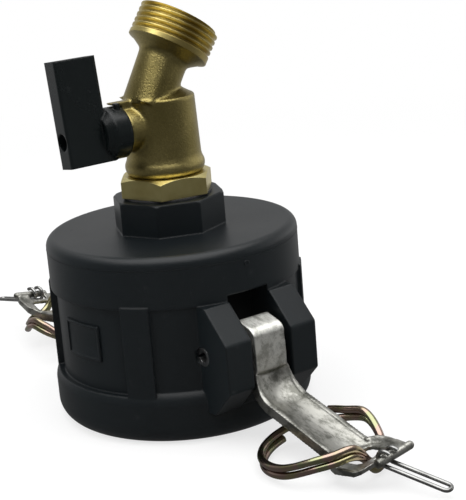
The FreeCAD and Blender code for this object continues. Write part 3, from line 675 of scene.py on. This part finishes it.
def corner_outline():
    """What lies outside an arc between the strap's sloping top and its upright face, at y = 0."""
    top_way = turn(-90 + STRAP_TOP_SLOPE, "Y") @ Vector((1, 0, 0))
    middle_x = STRAP_FACE_X - STRAP_ROUND
    middle_z = (STRAP_TOP_PLACE.dot(top_way) - STRAP_ROUND - middle_x * top_way.x) / top_way.z
    sweep = math.radians(90 - STRAP_TOP_SLOPE)
    arc = [Vector((middle_x + math.cos(a) * STRAP_ROUND, 0, middle_z + math.sin(a) * STRAP_ROUND))
           for a in (sweep * i / ROUND_STEPS for i in range(ROUND_STEPS + 1))]
    far_x = STRAP_FACE_X + CUTTER_REACH
    return arc + [arc[-1] + top_way * CUTTER_REACH, Vector((far_x, 0, arc[-1].z + CUTTER_REACH)),
                  Vector((far_x, 0, arc[0].z))]


def corner_cutter():
    outline = corner_outline()
    deselect()
    bpy.ops.mesh.primitive_circle_add(vertices=len(outline), radius=1, rotation=(math.radians(90), 0, 0))
    cutter = bpy.context.object
    bake_place(cutter)
    for vertex, point in zip(cutter.data.vertices, outline):
        vertex.co = point - Vector((0, CUTTER_WIDTH / 2, 0))
    across = {"value": (0, CUTTER_WIDTH, 0)}
    edit(cutter, bpy.ops.mesh.edge_face_add,
         lambda: bpy.ops.mesh.extrude_region_move(TRANSFORM_OT_translate=across),
         lambda: bpy.ops.mesh.select_all(action="SELECT"), face_outward)
    return cutter


def bar_trim():
    return tool_block("bar_trim", lambda x, y, z: (BAR_OUTER_X if x > 0 else BAR_INNER_X,
                                                   BAR_TRIM_Y if y > 0 else BAR_END_Y, z * BAR_HALF_HEIGHT))


def far_matrix():
    lift = Matrix.Translation(PIN_PLACE) @ turn(-abs(FAR_LIFT), "Y") @ Matrix.Translation(-PIN_PLACE)
    return turn(180, "Z") @ lift


print("far arm lifted by", round(abs(FAR_LIFT), 2), "degrees")

# %% [markdown]
# Each arm is made in the same few steps; only its name, its body and the tools' place differ.

# %% Round and soften both arms


def pressed_arm(side, body, place):
    arm = merged_copy(side + "_cam_arm", side + "_pressed_arm")
    for tool in (corner_cutter(), bar_trim()):
        tool.matrix_world = place
        bake_place(tool)
        take_out(arm, tool)
    soften(arm, voxel=0.3 * MM, passes=3)
    smooth(arm, degrees=50)
    paint(arm, ARM_STEEL)
    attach(arm, body)
    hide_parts(side + "_cam_arm")
    measured(arm)


pressed_arm("near", "near_arm", Matrix())
pressed_arm("far", "far_arm", far_matrix())

# %% [markdown]
# ## Small forms of the mould
# The wall carries a raised plate, left bare here, with a thin rim round it. It is drawn as a section
# and spun about the coupler's axis, as the mould's own cutter would turn it; its middle is then sunk
# inside the rim.

# %% The bare plate
WALL_RADIUS = 39.3 * MM
PLATE_START_ANGLE = -96.0
PLATE_END_ANGLE = -72.0
PLATE_FOOT = 25.6 * MM
PLATE_TOP = 37.2 * MM
PLATE_PROUD = 0.7 * MM
PLATE_RIM = 0.9 * MM
PLATE_SUNK = 0.35 * MM
PLATE_BEVEL = 0.18 * MM
DIG = 0.5 * MM


def spun(name, inner, outer, foot, top, start_angle, end_angle, steps):
    """A rectangle between two radii and two heights, spun about the coupler's axis."""
    piece = upright_square()
    piece.name = name
    start = turn(start_angle, "Z")
    for vertex in piece.data.vertices:
        radius = outer if vertex.co.x > 0 else inner
        vertex.co = start @ Vector((radius, 0, top if vertex.co.z > 0 else foot))
    sweep = math.radians(end_angle - start_angle)
    edit(piece, drop_face)
    edit(piece, lambda: bpy.ops.mesh.spin(steps=steps, angle=sweep, center=(0, 0, 0), axis=(0, 0, -1)),
         lambda: bpy.ops.mesh.select_all(action="SELECT"),
         lambda: bpy.ops.mesh.remove_doubles(threshold=SAME_PLACE), fill_ends, face_outward)
    return piece


def round_edges(piece, width):
    apply_modifier(piece, "BEVEL", width=width, segments=2, limit_method="ANGLE")
    smooth(piece, degrees=40)


def on_coupler(piece):
    paint(piece, BODY_BLACK)
    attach(piece, "coupler")
    measured(piece)


def bare_plate():
    outer = WALL_RADIUS + PLATE_PROUD
    plate = spun("bare_plate", WALL_RADIUS - DIG, outer, PLATE_FOOT, PLATE_TOP,
                 PLATE_START_ANGLE, PLATE_END_ANGLE, steps=24)
    select_faces(plate, lambda polygon: Vector(polygon.center[:2]).length > outer - 0.02 * MM)
    shrink = (outer - PLATE_SUNK) / outer
    bpy.ops.mesh.inset(thickness=PLATE_RIM, depth=0)
    bpy.ops.mesh.extrude_region()
    bpy.ops.transform.resize(value=(shrink, shrink, 1), center_override=(0, 0, 0))
    bpy.ops.object.mode_set(mode="OBJECT")
    round_edges(plate, PLATE_BEVEL)
    on_coupler(plate)


bare_plate()

# %% [markdown]
# A real mould also leaves a fine seam under the cap's round edge, where its two halves met, and a round
# gate mark on the cap's side, where the plastic came in.

# %% The seam and the gate mark
CAP_RADIUS = 41.0 * MM
SEAM_HEIGHT = 56.2 * MM
SEAM_SIZE = 0.07 * MM
GATE_HEIGHT = 54.5 * MM
GATE_RADIUS = 1.0 * MM
GATE_RIM = GATE_RADIUS * 0.35
GATE_SLOPE = GATE_RADIUS * 0.2
GATE_DEPTH = DIG * 0.5
GATE_BEVEL = 0.12 * MM


def cap_seam():
    deselect()
    bpy.ops.mesh.primitive_torus_add(major_radius=CAP_RADIUS, minor_radius=SEAM_SIZE, major_segments=180,
                                     minor_segments=10, location=(0, 0, SEAM_HEIGHT))
    seam = bpy.context.object
    seam.name = "cap_seam"
    bake_place(seam)
    smooth(seam, degrees=60)
    on_coupler(seam)


def gate_mark():
    deselect()
    bpy.ops.mesh.primitive_cylinder_add(vertices=28, radius=GATE_RADIUS, depth=2 * DIG,
                                        location=(CAP_RADIUS - DIG / 2, 0, GATE_HEIGHT),
                                        rotation=(0, math.radians(90), 0))
    mark = bpy.context.object
    mark.name = "gate_mark"
    bake_place(mark)
    select_faces(mark, lambda polygon: polygon.normal.x > 0.9)
    bpy.ops.mesh.inset(thickness=GATE_RIM, depth=0)
    bpy.ops.mesh.inset(thickness=GATE_SLOPE, depth=-GATE_DEPTH)
    bpy.ops.object.mode_set(mode="OBJECT")
    round_edges(mark, GATE_BEVEL)
    on_coupler(mark)


cap_seam()
gate_mark()

# %% [markdown]
# ## The room that the surfaces mirror
# A product picture on white. What the lens sees is plain white; what a surface mirrors is a room. The
# room behind the lens is dark, which is what lets metal and black plastic show their form: a face that
# looks back at the lens mirrors the dark, and one that looks past it mirrors the white. A bright panel
# stands on one side, and the ceiling is grey. Each is a smooth step over the direction looked in. For
# all that a surface scatters, the same world is only a faint even fill.

# %% World
PANEL_HEADING = 75
PANEL_EDGE = (0.70, 0.95)
ROOM_EDGE = (-0.90, -0.05)
CEILING_EDGE = (0.42, 0.85)
FILL_LIGHT = 0.34
MIRRORED_WHITE = 0.50
MIRRORED_ROOM = 0.12
MIRRORED_CEILING = 0.46
MIRRORED_PANEL = 0.60
LENS_SIDE = Vector((CAMERA_PLACE[0], CAMERA_PLACE[1], 0)).normalized()
PANEL_SIDE = turn(PANEL_HEADING, "Z") @ Vector((1, 0, 0))


def between(share, low, high):
    return share * (high - low) + low


def background(sky, strength):
    return sky.node("ShaderNodeBackground", {}, {"Color": (1, 1, 1, 1), "Strength": strength})


def studio_world():
    world = bpy.data.worlds.new("studio")
    bpy.context.scene.world = world
    world.use_nodes = True
    sky = Graph(world.node_tree)
    out = sky.tree.nodes.new("ShaderNodeOutputWorld")
    way = sky.node("ShaderNodeTexCoord", {}, {}, out="Generated")
    panel = sky.along(way, PANEL_SIDE).step(*PANEL_EDGE)
    room = sky.along(way, LENS_SIDE).step(*ROOM_EDGE)
    ceiling = sky.node("ShaderNodeSeparateXYZ", {}, {0: way}, out="Z").step(*CEILING_EDGE)
    walls = between(room, MIRRORED_WHITE, MIRRORED_ROOM) + panel * MIRRORED_PANEL
    mirrored = background(sky, walls * (1 - ceiling) + ceiling * MIRRORED_CEILING)
    lit = sky.mix_shaders(sky.ray("Is Glossy Ray"), background(sky, FILL_LIGHT), mirrored)
    seen = sky.ray("Is Camera Ray").math("MAXIMUM", sky.ray("Is Transmission Ray"))
    both = sky.mix_shaders(seen, lit, background(sky, 1.0))
    sky.tree.links.new(both.socket, out.inputs["Surface"])


deselect()
studio_world()

# %% [markdown]
# ## Floor and lamps
# The floor is white and glows a little towards the lens, so that only a soft contact shadow is left;
# further out the glow rises until the floor is as white as the room. In a mirrored ray it takes the
# room's own levels. One broad lamp hangs above, and one stands on each side.

# %% Floor and lamps
FLOOR_SIZE = 6.0
FLOOR_GLOW = 0.70
GLOW_EDGE = (0.15, 0.60)
FLOOR_ROOM_EDGE = (-0.35, 0.10)
LAMPS_AIM = Vector((0, 0, 0.06))


def floor():
    bpy.ops.mesh.primitive_plane_add(size=FLOOR_SIZE, location=(0, 0, 0))
    thing = bpy.context.object
    thing.name = "floor"
    f = Finish("floor_white")
    f.set(base_color=(0.92, 0.92, 0.92), roughness=0.75, specular_ior_level=0.2)
    reach = f.node("ShaderNodeVectorMath", {"operation": "LENGTH"}, {0: f.place}, out="Value")
    glow_share = between(reach.step(*GLOW_EDGE), FLOOR_GLOW, 1) * f.ray("Is Camera Ray")
    glow = f.node("ShaderNodeEmission", {}, {"Strength": 1.0})
    lit = f.mix_shaders(glow_share, Sock(f, f.shader.outputs[0]), glow)
    level = between(f.along(f.place, LENS_SIDE).step(*FLOOR_ROOM_EDGE), MIRRORED_WHITE, MIRRORED_ROOM)
    mirrored = f.node("ShaderNodeEmission", {}, {"Strength": level})
    both = f.mix_shaders(f.ray("Is Glossy Ray"), lit, mirrored)
    f.tree.links.new(both.socket, f.output.inputs["Surface"])
    paint(thing, f.material)


def lamp(name, place, size, watts, mirrored=False):
    """A soft lamp. A side lamp gives light but no reflection; the room's walls give that."""
    data = bpy.data.lights.new(name, "AREA")
    data.shape = "RECTANGLE"
    data.size, data.size_y = size
    data.energy = watts
    thing = bpy.data.objects.new(name, data)
    bpy.context.scene.collection.objects.link(thing)
    aim = LAMPS_AIM - Vector(place)
    thing.matrix_world = Matrix.Translation(place) @ aim.to_track_quat("-Z", "Y").to_matrix().to_4x4()
    thing.visible_glossy = mirrored
    print(name, "radiance", round(watts / (math.pi * size[0] * size[1]), 2))


floor()
lamp("top_lamp", place=(0.05, -0.05, 0.80), size=(1.1, 1.1), watts=8.5, mirrored=True)
lamp("left_lamp", place=(-0.35, -0.75, 0.40), size=(0.6, 0.8), watts=4.5)
lamp("right_lamp", place=(0.75, 0.45, 0.40), size=(0.5, 0.8), watts=3.5)
bpy.context.scene.view_settings.view_transform = "Standard"
